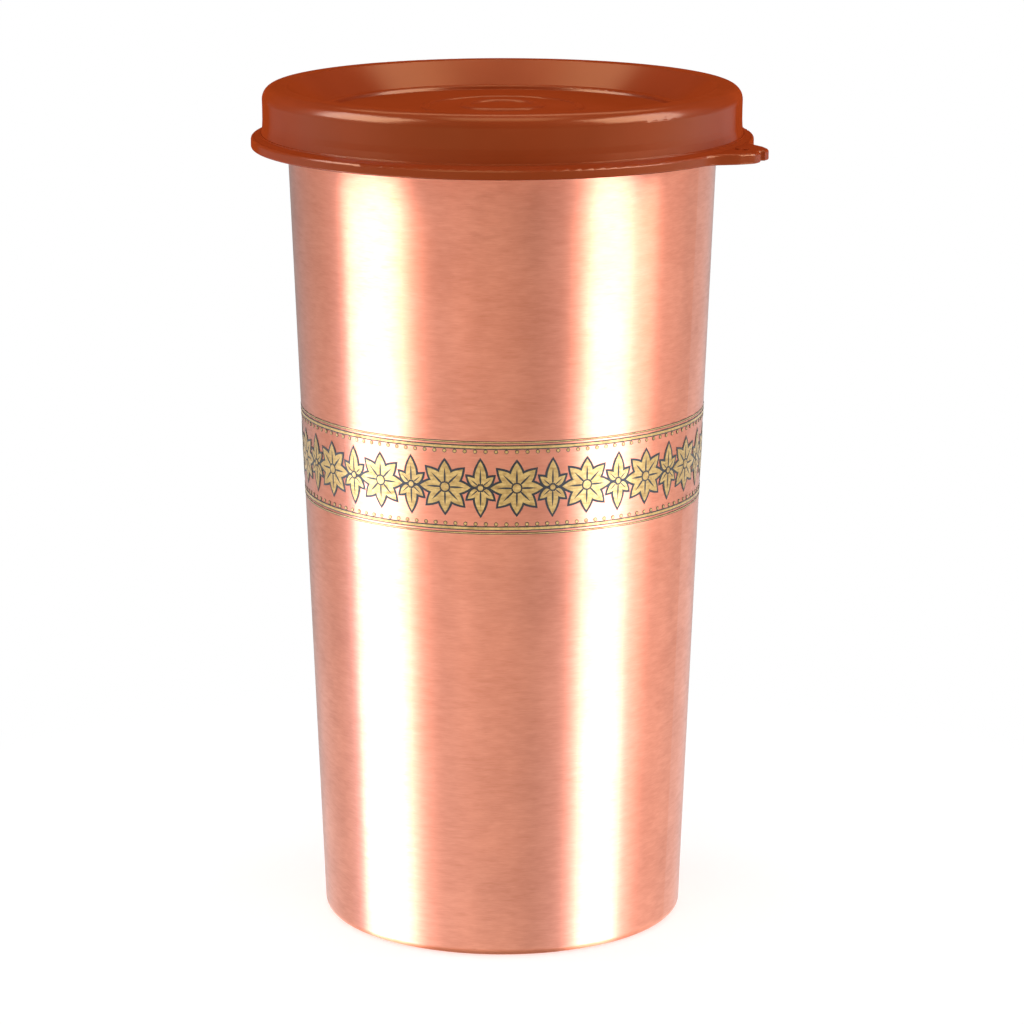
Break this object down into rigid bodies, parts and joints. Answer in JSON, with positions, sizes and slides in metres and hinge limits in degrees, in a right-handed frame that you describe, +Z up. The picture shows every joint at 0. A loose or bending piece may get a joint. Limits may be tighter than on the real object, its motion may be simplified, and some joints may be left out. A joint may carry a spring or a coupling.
{
  "type": "insulated tumbler with lid",
  "caption": "Tapered double-wall steel tumbler, brushed copper finish, with a moulded push-on lid that has a flange and a pull tab.",
  "frame": {"origin": "centre of the foot ring, on the surface that the tumbler stands on", "axes": "+Z up along the cup's axis, +X towards the lid's pull tab, +Y to the left of someone above the cup who looks towards the tab"},
  "size_m": [0.0918, 0.0866, 0.1469],
  "materials": {
    "copper_finish": "copper-coloured finish over steel, brushed around the axis",
    "liner_steel": "satin stainless steel",
    "plate_steel": "bare pressed stainless steel",
    "cover_steel": "brushed stainless steel",
    "seal_glass": "fused solder glass",
    "getter_metal": "pressed sintered metal",
    "copper_foil": "bright copper foil",
    "lid_plastic": "satin moulded polyethylene, red-brown"
  },
  "bodies": {
    "cup": {"outer_shell": "copper_finish", "inner_liner": "liner_steel", "base_plate": "plate_steel", "base_cover": "cover_steel", "seal_bead": "seal_glass", "getter_pellet": "getter_metal", "getter_holder": "plate_steel", "radiation_foil": "copper_foil"},
    "lid": {"lid": "lid_plastic"}
  },
  "joints": [
    {"name": "lid_lift", "type": "slide", "parent": "cup", "child": "lid", "axis": [0, 0, 1], "range_m": [0, 0.06]}
  ]
}
